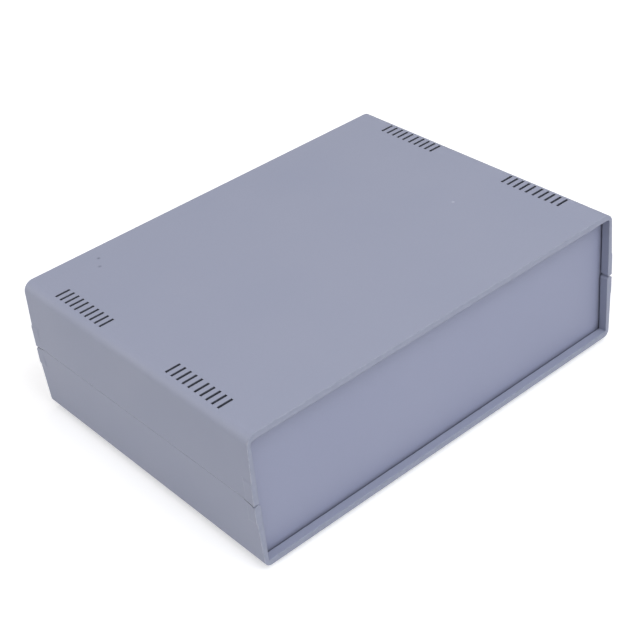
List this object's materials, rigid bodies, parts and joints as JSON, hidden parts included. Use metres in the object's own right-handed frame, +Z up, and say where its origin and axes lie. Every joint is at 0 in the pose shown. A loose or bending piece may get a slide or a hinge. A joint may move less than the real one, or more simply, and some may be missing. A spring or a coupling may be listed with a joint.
{
  "type": "vented plastic instrument case",
  "caption": "Vented two-shell plastic instrument case with flat blank end panels held in grooves, screw posts and board stand-offs inside, and rubber feet.",
  "frame": {"origin": "on the ground below the middle of the case, in the plane of the feet's undersides", "axes": "+X to the right along the width, +Y from the front panel to the rear panel, +Z up"},
  "size_m": [0.26, 0.192, 0.0855],
  "materials": {
    "shell_abs": "fine moulded texture, blue-grey ABS",
    "panel_abs": "fine moulded texture, blue-grey ABS",
    "screw_steel": "zinc-plated steel",
    "foot_rubber": "matte moulded rubber"
  },
  "bodies": {
    "case": {"base_shell": "shell_abs", "front_panel": "panel_abs", "rear_panel": "panel_abs", "case_screw_1": "screw_steel", "case_screw_2": "screw_steel", "case_screw_3": "screw_steel", "case_screw_4": "screw_steel", "foot_1": "foot_rubber", "foot_2": "foot_rubber", "foot_3": "foot_rubber", "foot_4": "foot_rubber"},
    "cover": {"top_cover": "shell_abs"}
  },
  "joints": [
    {"name": "cover_lift", "type": "slide", "parent": "case", "child": "cover", "axis": [0, 0, 1], "range_m": [0, 0.08]}
  ]
}
